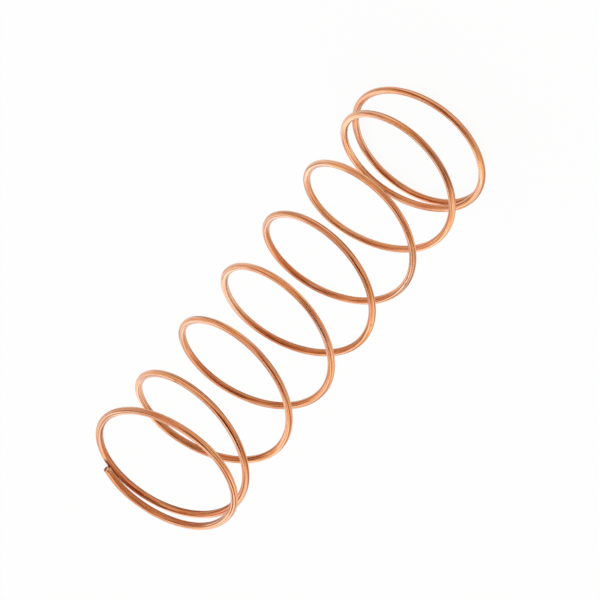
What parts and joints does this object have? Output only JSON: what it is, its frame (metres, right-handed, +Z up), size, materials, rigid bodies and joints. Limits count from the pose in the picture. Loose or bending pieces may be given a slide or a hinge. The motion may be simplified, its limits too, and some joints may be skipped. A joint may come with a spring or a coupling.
{
  "type": "valve spring",
  "caption": "Left-wound compression spring of round phosphor bronze wire with closed, square-cut ends, which pushes the piston of a brass instrument's valve back up.",
  "frame": {"origin": "centre of the bottom end turn, on the surface that the spring stands on", "axes": "+Z up along the coil's axis towards the top end turn; +X passes through the bottom cut end of the wire"},
  "size_m": [0.0174, 0.0174, 0.055],
  "materials": {
    "bronze_wire": "polished"
  },
  "bodies": {
    "root": {"valve_spring": "bronze_wire"}
  },
  "joints": []
}
